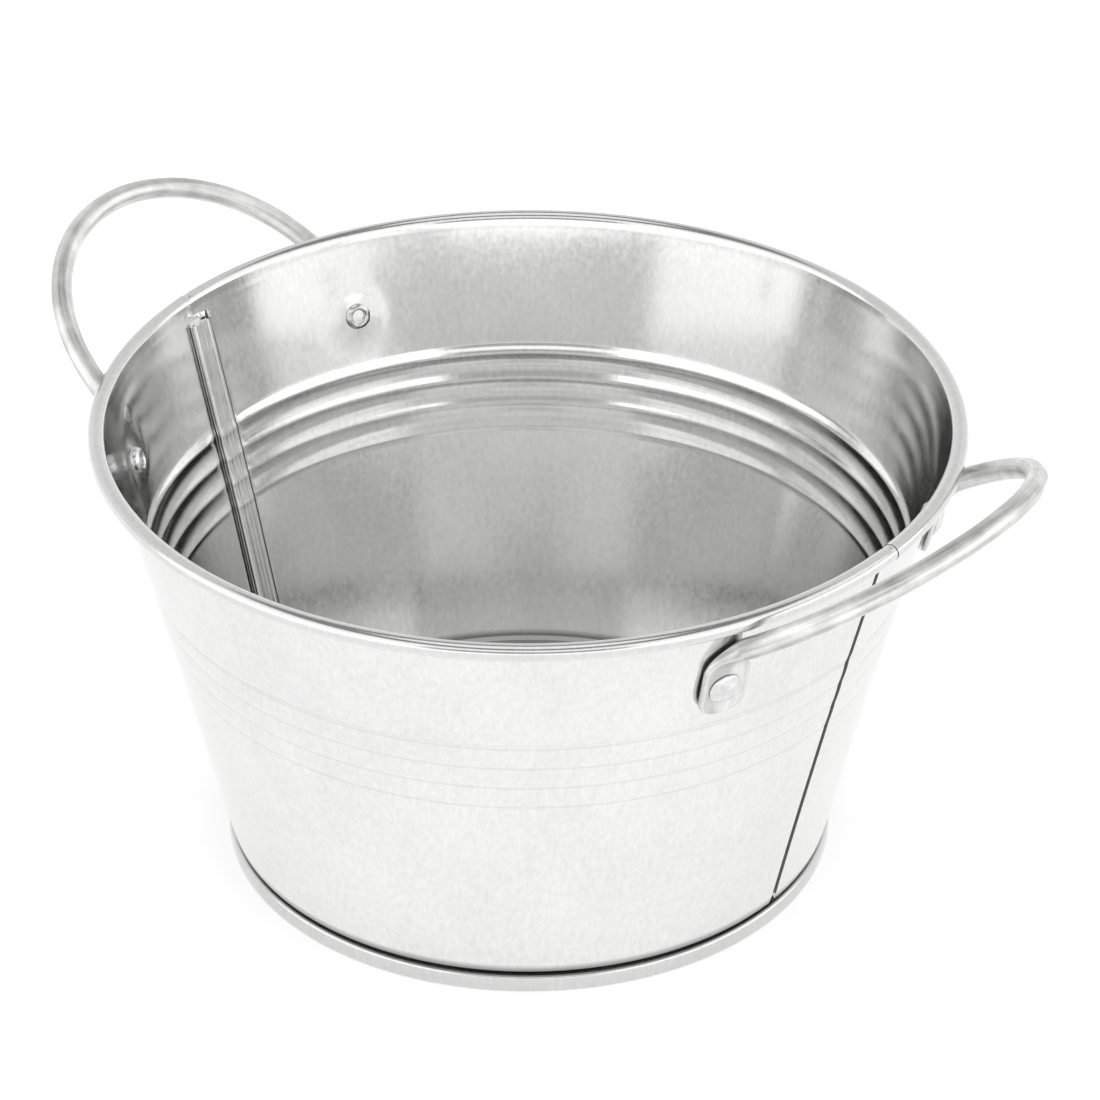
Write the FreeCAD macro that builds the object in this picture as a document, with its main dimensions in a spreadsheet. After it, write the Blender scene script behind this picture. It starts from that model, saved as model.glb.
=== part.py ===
import FreeCAD, Part
import math
import os

import Sketcher

# A small round galvanised bucket with two fixed side handles, in millimetres.
# Origin: centre of the foot ring, on the surface the bucket stands on. +Z up, handles on +X and -X.

DRIVING_SIZES = {
    # Sheet metal and the small gaps left between folded layers.
    "sheet_thickness": 0.4,
    "layer_gap": 0.06,
    # Outer face of the conical wall: its radius carried down to the floor plane, gain per height,
    # and the slightly wider gain from the foot of the beads up to the rim.
    "wall_foot_radius": 62.6,
    "wall_slope": 0.2363,
    "bend_height": 53.0,
    "upper_slope": 0.2609,
    # Double seam that joins the base to the wall.
    "ring_outer_radius": 64.1,
    "ring_height": 3.8,
    "neck_height": 3.95,
    "neck_step": 0.08,
    "shoulder_height": 5.1,
    "floor_height": 5.2,
    # Hollow curl rolled outward at the rim, starting in line with the wall.
    "flare_height": 96.3,
    "flare_step": 0.17,
    "curl_centre_radius": 88.25,
    "curl_centre_height": 97.8,
    "curl_tube_radius": 1.75,
    "curl_start_angle": 165.4,
    "curl_end_angle": 218.0,
    # Three shallow beads between four creases pressed inward.
    "top_crease_height": 69.2,
    "bead_pitch": 5.4,
    "crease_flank": 2.2,
    "bead_rise": 0.38,
    "top_crease_depth": 0.55,
    "upper_crease_depth": 0.4,
    "lower_crease_depth": 0.27,
    "foot_crease_depth": 0.13,
    "fading_share": 0.5,
    "bead_start_angle": 7.5,
    "bead_fade_angle": 2.0,
    # Grooved lock seams, flush outside, raised inside.
    "seam_line_angle": 359.3,
    "seam_span_angle": 4.1,
    "fold_angle": 0.35,
    "edge_gap_angle": 0.1,
    "seam_foot_height": 6.0,
    "seam_head_height": 94.0,
    # Rivets, semi-tubular, clinched inside.
    "rivet_height": 81.5,
    "rivet_half_angle": 27.5,
    "rivet_shank_radius": 2.1,
    "rivet_hole_radius": 2.2,
    "rivet_head_radius": 3.6,
    "rivet_head_rim": 0.35,
    "rivet_head_rise": 1.5,
    "rivet_bore_radius": 1.5,
    "rivet_bore_length": 3.0,
    "rivet_tail_radius": 2.85,
    "rivet_tail_length": 1.5,
    "rivet_tail_lip": 0.7,
    "seat_clearance": 0.08,
    # Handles: round rod bent to a loop, ends flattened into tabs.
    "rod_radius": 2.2,
    "leg_length": 0.5,
    "right_loop_reach": 80.4,
    "right_loop_height": 92.4,
    "right_loop_tilt": 33.6,
    "right_loop_radius": 38.7,
    "right_loop_shift": 0.0,
    "left_loop_reach": 80.4,
    "left_loop_height": 92.5,
    "left_loop_tilt": 34.2,
    "left_loop_radius": 37.2,
    "left_loop_shift": -0.9,
    "tab_half_width": 5.4,
    "tab_thickness": 1.6,
    "tab_top": 5.0,
    "tab_drop": 6.8,
    "tab_corner_radius": 3.4,
}

SECANT = "sqrt(1 + sizes.wall_slope ^ 2)"
UPPER_SECANT = "sqrt(1 + sizes.upper_slope ^ 2)"
LAYER_PITCH = "(sizes.sheet_thickness + sizes.layer_gap)"
FULL_TURN = 360
AXIS_MARK = 10
HOLE_LIFT = 2
HOLE_REACH = 5

document = FreeCAD.newDocument("bucket")


# --- driving sizes ---------------------------------------------------------------------------

def make_sizes():
    """Put every driving size in one spreadsheet, each in a cell with a plain-word alias."""
    sheet = document.addObject("Spreadsheet::Sheet", "sizes")
    for row, (alias, value) in enumerate(DRIVING_SIZES.items(), start=1):
        sheet.set("A%d" % row, alias)
        sheet.set("B%d" % row, str(value))
        sheet.setAlias("B%d" % row, alias)
    document.recompute()
    return sheet


sizes = make_sizes()


def size(alias):
    """The number in one cell of the spreadsheet."""
    return float(getattr(sizes, alias))


# --- sketch helpers ---------------------------------------------------------------------------

def origin_plane(body, role):
    """One of the body's own origin planes, found by its role."""
    for feature in body.Origin.OriginFeatures:
        if feature.Role == role:
            return feature
    raise ValueError(role)


def new_sketch(body, role, name):
    """An empty sketch that lies on one of the body's origin planes."""
    sketch = body.newObject("Sketcher::SketchObject", name)
    sketch.AttachmentSupport = [(origin_plane(body, role), "")]
    sketch.MapMode = "FlatFace"
    return sketch


def number(sketch, expression):
    """What an expression comes to, as a plain number."""
    value = sketch.evalExpression(expression)
    return float(getattr(value, "Value", value))


def bind(sketch, constraint, expression):
    """Add a constraint and bind its value to an expression."""
    index = sketch.addConstraint(constraint)
    sketch.setExpression("Constraints[%d]" % index, expression)


def place_point(sketch, edge, end, across, up):
    """Hold one end of an edge at a place given by two expressions."""
    bind(sketch, Sketcher.Constraint("DistanceX", -1, 1, edge, end, number(sketch, across)), across)
    bind(sketch, Sketcher.Constraint("DistanceY", -1, 1, edge, end, number(sketch, up)), up)


def arc_between(start, end, radius, turn, major):
    """A circular arc; turn is 1 where it runs anticlockwise from start to end, -1 where clockwise."""
    chord = end.sub(start)
    middle = (start + end) * 0.5
    reach = math.sqrt(max(radius ** 2 - (chord.Length / 2) ** 2, 0))
    side = FreeCAD.Vector(-chord.y, chord.x, 0).normalize() * (reach * turn * (-1 if major else 1))
    centre = middle + side
    first, last = (start, end) if turn > 0 else (end, start)
    angles = [math.atan2(spot.y - centre.y, spot.x - centre.x) for spot in (first, last)]
    circle = Part.Circle(centre, FreeCAD.Vector(0, 0, 1), radius)
    return Part.ArcOfCircle(circle, angles[0], angles[1])


def draw_outline(sketch, corners):
    """Draw a closed outline. A corner is (across, up), or (across, up, (radius, turn, major))
    where the edge from it to the next corner is an arc."""
    spots = [FreeCAD.Vector(number(sketch, corner[0]), number(sketch, corner[1]), 0) for corner in corners]
    ends = []
    for index, corner in enumerate(corners):
        start = spots[index]
        end = spots[(index + 1) % len(spots)]
        if len(corner) == 2:
            sketch.addGeometry(Part.LineSegment(start, end))
            ends.append((1, 2))
        else:
            radius, turn, major = corner[2]
            sketch.addGeometry(arc_between(start, end, number(sketch, radius), turn, major))
            ends.append((1, 2) if turn > 0 else (2, 1))
    for index, corner in enumerate(corners):
        following = (index + 1) % len(corners)
        joint = Sketcher.Constraint("Coincident", index, ends[index][1], following, ends[following][0])
        sketch.addConstraint(joint)
        place_point(sketch, index, ends[index][0], corner[0], corner[1])
        if len(corner) == 3:
            radius = corner[2][0]
            bind(sketch, Sketcher.Constraint("Radius", index, number(sketch, radius)), radius)


def revolve(body, name, corners, start="0", sweep=str(FULL_TURN)):
    """Turn an outline, drawn in radius and height, about the vertical axis."""
    sketch = new_sketch(body, "XZ_Plane", name + "_outline")
    sketch.AttachmentOffset = FreeCAD.Placement(
        FreeCAD.Vector(), FreeCAD.Rotation(FreeCAD.Vector(0, 1, 0), number(sketch, start)))
    sketch.setExpression("AttachmentOffset.Rotation.Angle", start)
    draw_outline(sketch, corners)
    feature = body.newObject("PartDesign::Revolution", name)
    feature.Profile = sketch
    feature.ReferenceAxis = (sketch, ["V_Axis"])
    feature.Angle = number(sketch, sweep)
    feature.setExpression("Angle", sweep)
    return feature


def new_body(name):
    body = document.addObject("PartDesign::Body", name)
    body.Label = name
    return body


# --- places on the wall -----------------------------------------------------------------------

def wall_radius(height, inset="0"):
    """Radius of the lower wall at a height, at a depth square in from its outer face."""
    return "sizes.wall_foot_radius + sizes.wall_slope * (%s) - (%s) * %s" % (height, inset, SECANT)


def upper_radius(height, inset="0"):
    """The same for the wall above the bend."""
    bend = "sizes.wall_foot_radius + sizes.wall_slope * sizes.bend_height"
    gain = "sizes.upper_slope * ((%s) - sizes.bend_height)" % height
    return "%s + %s - (%s) * %s" % (bend, gain, inset, UPPER_SECANT)


def ring_radius(layer, inner=False):
    """Radius of a layer of the double seam, counted from outside, at its outer or inner face."""
    face = " - sizes.sheet_thickness" if inner else ""
    return "sizes.ring_outer_radius - %d * %s%s" % (layer, LAYER_PITCH, face)


def seat_placement(turn, lift=0.0, climb=0.0, facing="out"):
    """A frame on the wall at a rivet. Facing out: X sideways, Y up the wall, Z outward.
    Facing down: X sideways, Y outward, Z down the wall."""
    angle = math.radians(turn)
    lean = math.atan(size("upper_slope"))
    sideways = FreeCAD.Vector(-math.sin(angle), math.cos(angle), 0)
    upslope = FreeCAD.Vector(
        math.sin(lean) * math.cos(angle), math.sin(lean) * math.sin(angle), math.cos(lean))
    outward = sideways.cross(upslope)
    bend_radius = size("wall_foot_radius") + size("wall_slope") * size("bend_height")
    radius = bend_radius + size("upper_slope") * (size("rivet_height") - size("bend_height"))
    seat = FreeCAD.Vector(radius * math.cos(angle), radius * math.sin(angle), size("rivet_height"))
    seat = seat + outward * lift + upslope * climb
    if facing == "down":
        return FreeCAD.Placement(seat, FreeCAD.Rotation(sideways, outward, upslope * -1, "ZXY"))
    return FreeCAD.Placement(seat, FreeCAD.Rotation(sideways, upslope, outward, "ZXY"))


# --- half sheets ------------------------------------------------------------------------------

def crease_levels():
    """Heights and depths of the creases, from the top one down."""
    depths = ("top_crease_depth", "upper_crease_depth", "lower_crease_depth", "foot_crease_depth")
    levels = []
    for count, depth in enumerate(depths):
        levels.append(("sizes.top_crease_height - %d * sizes.bead_pitch" % count, "sizes." + depth))
    return levels


def beaded_face(share, face_inset, downward):
    """Corners along one face of the beaded band, listed up the wall or down it."""
    bead_radius = "((sizes.bead_pitch / 2) ^ 2 / (2 * sizes.bead_rise * %s))" % share
    lead_height = "sizes.top_crease_height + sizes.crease_flank"
    lead = [upper_radius(lead_height, face_inset), lead_height]
    corners = []
    for height, depth in crease_levels():
        corners.append([upper_radius(height, "%s * %s + %s" % (depth, share, face_inset)), height])
    if downward:
        for corner in corners[:-1]:
            corner.append((bead_radius, -1, False))
        return [tuple(corner) for corner in [lead] + corners]
    corners.reverse()
    for corner in corners[:-1]:
        corner.append((bead_radius, 1, False))
    return [tuple(corner) for corner in corners + [lead]]


def curl_point(tube_radius, angle):
    """A point on the curl, at a radius from its own centre and an angle from straight outward."""
    across = "sizes.curl_centre_radius + (%s) * cos(%s * 1 deg)" % (tube_radius, angle)
    up = "sizes.curl_centre_height + (%s) * sin(%s * 1 deg)" % (tube_radius, angle)
    return across, up


def sheet_outline(share):
    """The half sheet in section: hook in the double seam, neck, wall with its beads, flare and curl."""
    fold_foot = LAYER_PITCH
    fold_top = "%s + sizes.sheet_thickness" % LAYER_PITCH
    hook_top = "sizes.ring_height - %s" % LAYER_PITCH
    inner_tube = "sizes.curl_tube_radius - sizes.sheet_thickness"
    flare_foot = "sizes.flare_height - sizes.flare_step"
    outline = [
        (ring_radius(1), hook_top),
        (ring_radius(1), fold_foot),
        (ring_radius(3, inner=True), fold_foot),
        (ring_radius(3, inner=True), "sizes.neck_height + sizes.neck_step"),
        (wall_radius("sizes.shoulder_height", "sizes.sheet_thickness"), "sizes.shoulder_height"),
    ]
    if share:
        outline += beaded_face(share, "sizes.sheet_thickness", downward=False)
    else:
        outline.append((upper_radius("sizes.bend_height", "sizes.sheet_thickness"), "sizes.bend_height"))
    outline += [
        (upper_radius("sizes.flare_height", "sizes.sheet_thickness"), "sizes.flare_height"),
        curl_point("sizes.curl_tube_radius", "sizes.curl_start_angle")
        + (("sizes.curl_tube_radius", -1, True),),
        curl_point("sizes.curl_tube_radius", "sizes.curl_end_angle"),
        curl_point(inner_tube, "sizes.curl_end_angle") + ((inner_tube, 1, True),),
        curl_point(inner_tube, "sizes.curl_start_angle"),
        (upper_radius(flare_foot), flare_foot),
    ]
    if share:
        outline += beaded_face(share, "0", downward=True)
    else:
        outline.append((upper_radius("sizes.bend_height"), "sizes.bend_height"))
    outline += [
        (wall_radius("sizes.shoulder_height"), "sizes.shoulder_height"),
        (ring_radius(3), "sizes.neck_height"),
        (ring_radius(3), fold_top),
        (ring_radius(1, inner=True), fold_top),
        (ring_radius(1, inner=True), hook_top),
    ]
    return outline


def seam_layer_outline(first_layer, last_layer):
    """A slice of the lock seam in section, through the layers counted inward from the wall."""
    outer = "%d * %s" % (first_layer, LAYER_PITCH)
    inner = "%d * %s + sizes.sheet_thickness" % (last_layer, LAYER_PITCH)
    foot = "sizes.seam_foot_height"
    bend = "sizes.bend_height"
    head = "sizes.seam_head_height"
    return [
        (wall_radius(foot, outer), foot),
        (upper_radius(bend, outer), bend),
        (upper_radius(head, outer), head),
        (upper_radius(head, inner), head),
        (upper_radius(bend, inner), bend),
        (wall_radius(foot, inner), foot),
    ]


def drill_sheet(body, name, turn):
    """Cut one rivet hole square through the wall."""
    sketch = new_sketch(body, "XY_Plane", name + "_circle")
    sketch.AttachmentOffset = seat_placement(turn, lift=HOLE_LIFT * size("sheet_thickness"))
    sketch.addGeometry(Part.Circle(FreeCAD.Vector(), FreeCAD.Vector(0, 0, 1), size("rivet_hole_radius")))
    sketch.addConstraint(Sketcher.Constraint("Coincident", 0, 3, -1, 1))
    bind(sketch, Sketcher.Constraint("Radius", 0, size("rivet_hole_radius")), "sizes.rivet_hole_radius")
    pocket = body.newObject("PartDesign::Pocket", name)
    pocket.Profile = sketch
    pocket.Length = HOLE_REACH * size("sheet_thickness")
    pocket.setExpression("Length", "%d * sizes.sheet_thickness" % HOLE_REACH)
    return pocket


def make_half_sheet(name, turn):
    """One half of the wall, from one lock seam to the other, with its half of every fold."""
    body = new_body(name)
    line = "sizes.seam_line_angle"
    gap = "sizes.edge_gap_angle"
    fold = "sizes.fold_angle"
    span = "sizes.seam_span_angle"
    start = "sizes.bead_start_angle"
    fade = "sizes.bead_fade_angle"

    # Wall sectors, each from one angle past the seam line to another, with a share of the bead depth.
    sectors = [
        ("plain_start", 0, gap, "%s - %s" % (start, fade)),
        ("fading_start", "sizes.fading_share", "%s - %s" % (start, fade), start),
        ("beaded", 1, start, "180 - %s" % start),
        ("fading_end", "sizes.fading_share", "180 - %s" % start, "180 - %s + %s" % (start, fade)),
        ("plain_end", 0, "180 - %s + %s" % (start, fade), "180"),
    ]
    for label, share, first, last in sectors:
        revolve(body, "%s_%s" % (name, label), sheet_outline(share),
                "%s + %s" % (line, first), "%s - (%s)" % (last, first))

    # Lock seam folds: two at the edge that starts the sheet, four at the edge that ends it.
    folds = [
        ("outer_fold", 0, 2, gap, "%s + %s" % (gap, fold)),
        ("outer_return", 2, 2, gap, "%s - %s - %s" % (span, fold, gap)),
        ("jog", 0, 3, "180 - %s" % fold, "180"),
        ("inner_layer", 3, 3, "180 - %s" % fold, "180 + %s" % span),
        ("inner_fold", 1, 3, "180 + %s - %s" % (span, fold), "180 + %s" % span),
        ("inner_return", 1, 1, "180 + %s + 2 * %s" % (fold, gap), "180 + %s" % span),
    ]
    for label, first_layer, last_layer, first, last in folds:
        revolve(body, "%s_%s" % (name, label), seam_layer_outline(first_layer, last_layer),
                "%s + %s" % (line, first), "%s - (%s)" % (last, first))

    half_angle = size("rivet_half_angle")
    drill_sheet(body, name + "_first_hole", half_angle)
    body.Tip = drill_sheet(body, name + "_second_hole", 180 - half_angle)
    body.Placement = FreeCAD.Placement(FreeCAD.Vector(), FreeCAD.Rotation(FreeCAD.Vector(0, 0, 1), turn))
    return body


# --- base -------------------------------------------------------------------------------------

def make_base():
    """The floor disc, its countersink wall and the hook that wraps the foot of the wall."""
    body = new_body("base_disc")
    thickness = "sizes.sheet_thickness"
    hook_foot = "%s + sizes.sheet_thickness + sizes.layer_gap" % LAYER_PITCH
    floor_underside = "sizes.floor_height - %s" % thickness
    ring_roof = "sizes.ring_height - %s" % thickness
    outline = [
        ("0", floor_underside),
        (ring_radius(4, inner=True), floor_underside),
        (ring_radius(4, inner=True), "0"),
        (ring_radius(0), "0"),
        (ring_radius(0), "sizes.ring_height"),
        (ring_radius(2, inner=True), "sizes.ring_height"),
        (ring_radius(2, inner=True), hook_foot),
        (ring_radius(2), hook_foot),
        (ring_radius(2), ring_roof),
        (ring_radius(0, inner=True), ring_roof),
        (ring_radius(0, inner=True), thickness),
        (ring_radius(4), thickness),
        (ring_radius(4), "sizes.floor_height"),
        ("0", "sizes.floor_height"),
    ]
    body.Tip = revolve(body, "base_disc_turned", outline)
    return body


# --- handles ----------------------------------------------------------------------------------

def make_loop(body, name, side):
    """The half circle of rod, turned about the loop's own axis."""
    sketch = new_sketch(body, "XZ_Plane", name + "_rod_circle")
    shift = "sizes.%s_loop_shift" % side
    sketch.AttachmentOffset = FreeCAD.Placement(
        FreeCAD.Vector(0, 0, -number(sketch, shift)), FreeCAD.Rotation())
    sketch.setExpression("AttachmentOffset.Base.z", "-%s" % shift)
    tilt = "sizes.%s_loop_tilt * 1 deg" % side
    reach = "sizes.%s_loop_reach" % side
    rise = "sizes.%s_loop_height" % side
    radius = "sizes.%s_loop_radius" % side
    centre = (reach, rise)
    tip = ("%s + %s * cos(%s)" % (reach, radius, tilt), "%s + %s * sin(%s)" % (rise, radius, tilt))
    axis_end = ("%s - %d * sin(%s)" % (reach, AXIS_MARK, tilt), "%s + %d * cos(%s)" % (rise, AXIS_MARK, tilt))
    tip_spot = FreeCAD.Vector(number(sketch, tip[0]), number(sketch, tip[1]), 0)
    axis_spots = [FreeCAD.Vector(number(sketch, spot[0]), number(sketch, spot[1]), 0)
                  for spot in (centre, axis_end)]
    sketch.addGeometry(Part.Circle(tip_spot, FreeCAD.Vector(0, 0, 1), size("rod_radius")))
    sketch.addGeometry(Part.LineSegment(axis_spots[0], axis_spots[1]), True)
    bind(sketch, Sketcher.Constraint("Radius", 0, size("rod_radius")), "sizes.rod_radius")
    place_point(sketch, 0, 3, tip[0], tip[1])
    place_point(sketch, 1, 1, centre[0], centre[1])
    place_point(sketch, 1, 2, axis_end[0], axis_end[1])
    loop = body.newObject("PartDesign::Revolution", name + "_loop")
    loop.Profile = sketch
    loop.ReferenceAxis = (sketch, ["Axis0"])
    loop.Midplane = True
    loop.Angle = 180
    return loop


def loop_frame(side, end, back):
    """A frame across the rod behind one end of the loop: X sideways, Z back to the wall."""
    tilt = math.radians(size(side + "_loop_tilt"))
    outward = FreeCAD.Vector(math.cos(tilt), 0, math.sin(tilt))
    sideways = FreeCAD.Vector(0, 1, 0)
    across = end * size(side + "_loop_radius") + size(side + "_loop_shift")
    root = FreeCAD.Vector(size(side + "_loop_reach"), across, size(side + "_loop_height"))
    rotation = FreeCAD.Rotation(sideways, FreeCAD.Vector(), outward * -1, "ZXY")
    return FreeCAD.Placement(root - outward * back, rotation)


def quartered_circle(sketch, radius_alias):
    """A circle about the sketch's origin as four equal arcs, corners on the diagonals."""
    spread = "sizes.%s * sqrt(0.5)" % radius_alias
    arc = ("sizes.%s" % radius_alias, 1, False)
    draw_outline(sketch, [
        (spread, spread, arc),
        ("-" + spread, spread, arc),
        ("-" + spread, "-" + spread, arc),
        (spread, "-" + spread, arc),
    ])


def make_leg(body, name, side, end):
    """The short straight stretch of rod between the loop and the flattening."""
    sketch = new_sketch(body, "XY_Plane", name + "_leg_circle")
    sketch.AttachmentOffset = loop_frame(side, end, 0)
    quartered_circle(sketch, "rod_radius")
    leg = body.newObject("PartDesign::Pad", name + "_leg")
    leg.Profile = sketch
    leg.Length = size("leg_length")
    leg.setExpression("Length", "sizes.leg_length")
    return leg


def make_flattening(body, name, side, end):
    """The stretch where the round rod is pressed flat and bends down onto the wall."""
    circle = new_sketch(body, "XY_Plane", name + "_round_section")
    circle.AttachmentOffset = loop_frame(side, end, size("leg_length"))
    quartered_circle(circle, "rod_radius")
    flat = new_sketch(body, "XY_Plane", name + "_flat_section")
    flat.AttachmentOffset = seat_placement(
        end * size("rivet_half_angle"), lift=size("seat_clearance"), climb=size("tab_top"), facing="down")
    draw_outline(flat, [
        ("sizes.tab_half_width", "sizes.tab_thickness"),
        ("-sizes.tab_half_width", "sizes.tab_thickness"),
        ("-sizes.tab_half_width", "0"),
        ("sizes.tab_half_width", "0"),
    ])
    loft = body.newObject("PartDesign::AdditiveLoft", name + "_flattening")
    loft.Profile = circle
    loft.Sections = [flat]
    loft.Ruled = True
    return loft


def make_tab(body, name, end):
    """The flat tab on the wall, with rounded lower corners."""
    sketch = new_sketch(body, "XY_Plane", name + "_tab_outline")
    sketch.AttachmentOffset = seat_placement(end * size("rivet_half_angle"), lift=size("seat_clearance"))
    half_width = "sizes.tab_half_width"
    corner = "sizes.tab_corner_radius"
    side_foot = "-sizes.tab_drop + %s" % corner
    draw_outline(sketch, [
        (half_width, "sizes.tab_top"),
        ("-" + half_width, "sizes.tab_top"),
        ("-" + half_width, side_foot, (corner, 1, False)),
        ("-%s + %s" % (half_width, corner), "-sizes.tab_drop"),
        ("%s - %s" % (half_width, corner), "-sizes.tab_drop", (corner, 1, False)),
        (half_width, side_foot),
    ])
    tab = body.newObject("PartDesign::Pad", name + "_tab")
    tab.Profile = sketch
    tab.Length = size("tab_thickness")
    tab.setExpression("Length", "sizes.tab_thickness")
    return tab


def make_tab_hole(body, name, end):
    """The rivet hole through the tab."""
    sketch = new_sketch(body, "XY_Plane", name + "_hole_circle")
    sketch.AttachmentOffset = seat_placement(
        end * size("rivet_half_angle"), lift=HOLE_LIFT * size("tab_thickness"))
    sketch.addGeometry(Part.Circle(FreeCAD.Vector(), FreeCAD.Vector(0, 0, 1), size("rivet_hole_radius")))
    sketch.addConstraint(Sketcher.Constraint("Coincident", 0, 3, -1, 1))
    bind(sketch, Sketcher.Constraint("Radius", 0, size("rivet_hole_radius")), "sizes.rivet_hole_radius")
    pocket = body.newObject("PartDesign::Pocket", name + "_hole")
    pocket.Profile = sketch
    pocket.Length = HOLE_REACH * size("tab_thickness")
    pocket.setExpression("Length", "%d * sizes.tab_thickness" % HOLE_REACH)
    return pocket


def make_handle(name, side, turn):
    """One handle: the loop, then leg, flattening, tab and hole at each of its two ends."""
    body = new_body(name)
    make_loop(body, name, side)
    for label, end in (("first", 1), ("second", -1)):
        stem = "%s_%s" % (name, label)
        make_leg(body, stem, side, end)
        make_flattening(body, stem, side, end)
        make_tab(body, stem, end)
        body.Tip = make_tab_hole(body, stem, end)
    body.Placement = FreeCAD.Placement(FreeCAD.Vector(), FreeCAD.Rotation(FreeCAD.Vector(0, 0, 1), turn))
    return body


# --- rivets -----------------------------------------------------------------------------------

def make_rivet(name, turn):
    """A domed rivet: head outside the tab, hollow tail spread inside the wall."""
    body = new_body(name)
    head_face = "sizes.tab_thickness + 2 * sizes.seat_clearance"
    rim_top = "%s + sizes.rivet_head_rim" % head_face
    crown = "sizes.rivet_head_rise - sizes.rivet_head_rim"
    dome_radius = "((sizes.rivet_head_radius ^ 2 + (%s) ^ 2) / (2 * (%s)))" % (crown, crown)
    tail_face = "-sizes.sheet_thickness - sizes.seat_clearance"
    tail_end = "%s - sizes.rivet_tail_length" % tail_face
    lip = "%s - sizes.rivet_tail_lip" % tail_face
    outline = [
        ("0", "%s + sizes.rivet_bore_length" % tail_end),
        ("sizes.rivet_bore_radius", "%s + sizes.rivet_bore_length" % tail_end),
        ("sizes.rivet_bore_radius", tail_end),
        ("sizes.rivet_shank_radius", tail_end),
        ("sizes.rivet_tail_radius", lip),
        ("sizes.rivet_tail_radius", tail_face),
        ("sizes.rivet_shank_radius", tail_face),
        ("sizes.rivet_shank_radius", head_face),
        ("sizes.rivet_head_radius", head_face),
        ("sizes.rivet_head_radius", rim_top, (dome_radius, 1, False)),
        ("0", "%s + sizes.rivet_head_rise" % head_face),
    ]
    body.Tip = revolve(body, name + "_turned", outline)
    body.Placement = seat_placement(turn)
    return body


# --- the whole bucket -------------------------------------------------------------------------

def make_bucket():
    half_angle = size("rivet_half_angle")
    parts = [
        make_half_sheet("body_sheet_back", 0),
        make_half_sheet("body_sheet_front", 180),
        make_base(),
        make_handle("handle_right", "right", 0),
        make_handle("handle_left", "left", 180),
    ]
    rivets = {
        "rivet_right_back": half_angle,
        "rivet_left_back": 180 - half_angle,
        "rivet_left_front": 180 + half_angle,
        "rivet_right_front": FULL_TURN - half_angle,
    }
    for name, turn in rivets.items():
        parts.append(make_rivet(name, turn))
    return parts


def check(parts):
    """Stop if any object failed or any sub-part is empty, broken or not one solid."""
    for item in document.Objects:
        if "Invalid" in item.State or "Error" in item.State:
            raise RuntimeError("%s: %s" % (item.Name, item.State))
    for part in parts:
        shape = part.Shape
        if shape.isNull() or not shape.isValid() or len(shape.Solids) != 1:
            raise RuntimeError("%s: not one valid solid" % part.Label)


def write(parts):
    os.makedirs("parts", exist_ok=True)
    for part in parts:
        part.Shape.exportStep("parts/%s.step" % part.Label)
        print("%-20s volume %9.1f mm3" % (part.Label, part.Shape.Volume))


bucket = make_bucket()
document.recompute()
check(bucket)
write(bucket)
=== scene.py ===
import math

import bmesh
import bpy
from mathutils import Matrix, Vector, noise


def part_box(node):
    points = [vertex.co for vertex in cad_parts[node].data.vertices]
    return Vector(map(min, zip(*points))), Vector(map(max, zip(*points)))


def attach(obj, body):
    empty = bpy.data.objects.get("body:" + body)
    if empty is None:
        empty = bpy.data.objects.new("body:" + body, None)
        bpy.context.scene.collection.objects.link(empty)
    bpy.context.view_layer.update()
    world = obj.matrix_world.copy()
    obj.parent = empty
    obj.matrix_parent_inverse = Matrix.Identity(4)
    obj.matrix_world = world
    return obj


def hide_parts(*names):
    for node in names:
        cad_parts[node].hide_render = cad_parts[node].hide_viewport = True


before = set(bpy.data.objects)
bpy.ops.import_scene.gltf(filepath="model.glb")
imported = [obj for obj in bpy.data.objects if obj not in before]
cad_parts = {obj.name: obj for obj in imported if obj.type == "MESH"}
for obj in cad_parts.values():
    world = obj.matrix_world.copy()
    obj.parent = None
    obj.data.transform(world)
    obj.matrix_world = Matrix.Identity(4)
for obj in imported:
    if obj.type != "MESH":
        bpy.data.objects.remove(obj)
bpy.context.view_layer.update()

# Lengths are millimetres and angles degrees in every function below; meshes are scaled to metres once.
MM = 0.001
BODY = "root"

# --- sizes, from the frame and from the design ----------------------------------------------------

BASE_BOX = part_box("base_disc")
RING_RADIUS = BASE_BOX[1].x / MM
FLOOR_TOP = BASE_BOX[1].z / MM

# Zinc: reflectance at its darkest and lightest, then the places where the tone falls. A pair gives the
# heights or radii over which it changes, and a tone is the share that is left there.
SHEET_DARK = (0.30, 0.30, 0.30)
SHEET_LIGHT = (0.84, 0.84, 0.835)
RIM_DULL = (96.4, 97.4)
RIM_TONE = 0.80
RING_TONE = 0.72
# Painted shade: the wall's foot darkens in the inside corner where it meets the floor.
FOOT_SHADE = (5.3, 6.9)
FOOT_SHADE_TONE = 0.0
# Painted shade: the floor darkens towards its edge, in the inside corner at the foot of the wall.
CORNER_SHADE = (50.0, 58.0)
CORNER_SHADE_TONE = 0.0
# Painted shade: the tone left in the thin dark line along each crease of the bead band.
CREASE_SHADE_TONE = 0.84
# Half width of the painted shade line at a crease, as shares of the distance between creases.
CREASE_SHADE_LINE = (0.02, 0.06)

SHEET = 0.4
LAYER = SHEET + 0.06
WALL_FOOT_RADIUS = 62.6
WALL_SLOPE = 0.2363
BEND_HEIGHT = 53.0
UPPER_SLOPE = 0.2609
WALL_LEAN = math.atan(UPPER_SLOPE)
NECK_HEIGHT = 3.95
SHOULDER_HEIGHT = 5.1
RING_HEIGHT = 3.8
FLARE_HEIGHT = 97.0
CURL_RADIUS = 88.2
CURL_HEIGHT = 97.8
CURL_TUBE = 1.75
CURL_START = 165.0
CURL_END = -142.0

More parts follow.
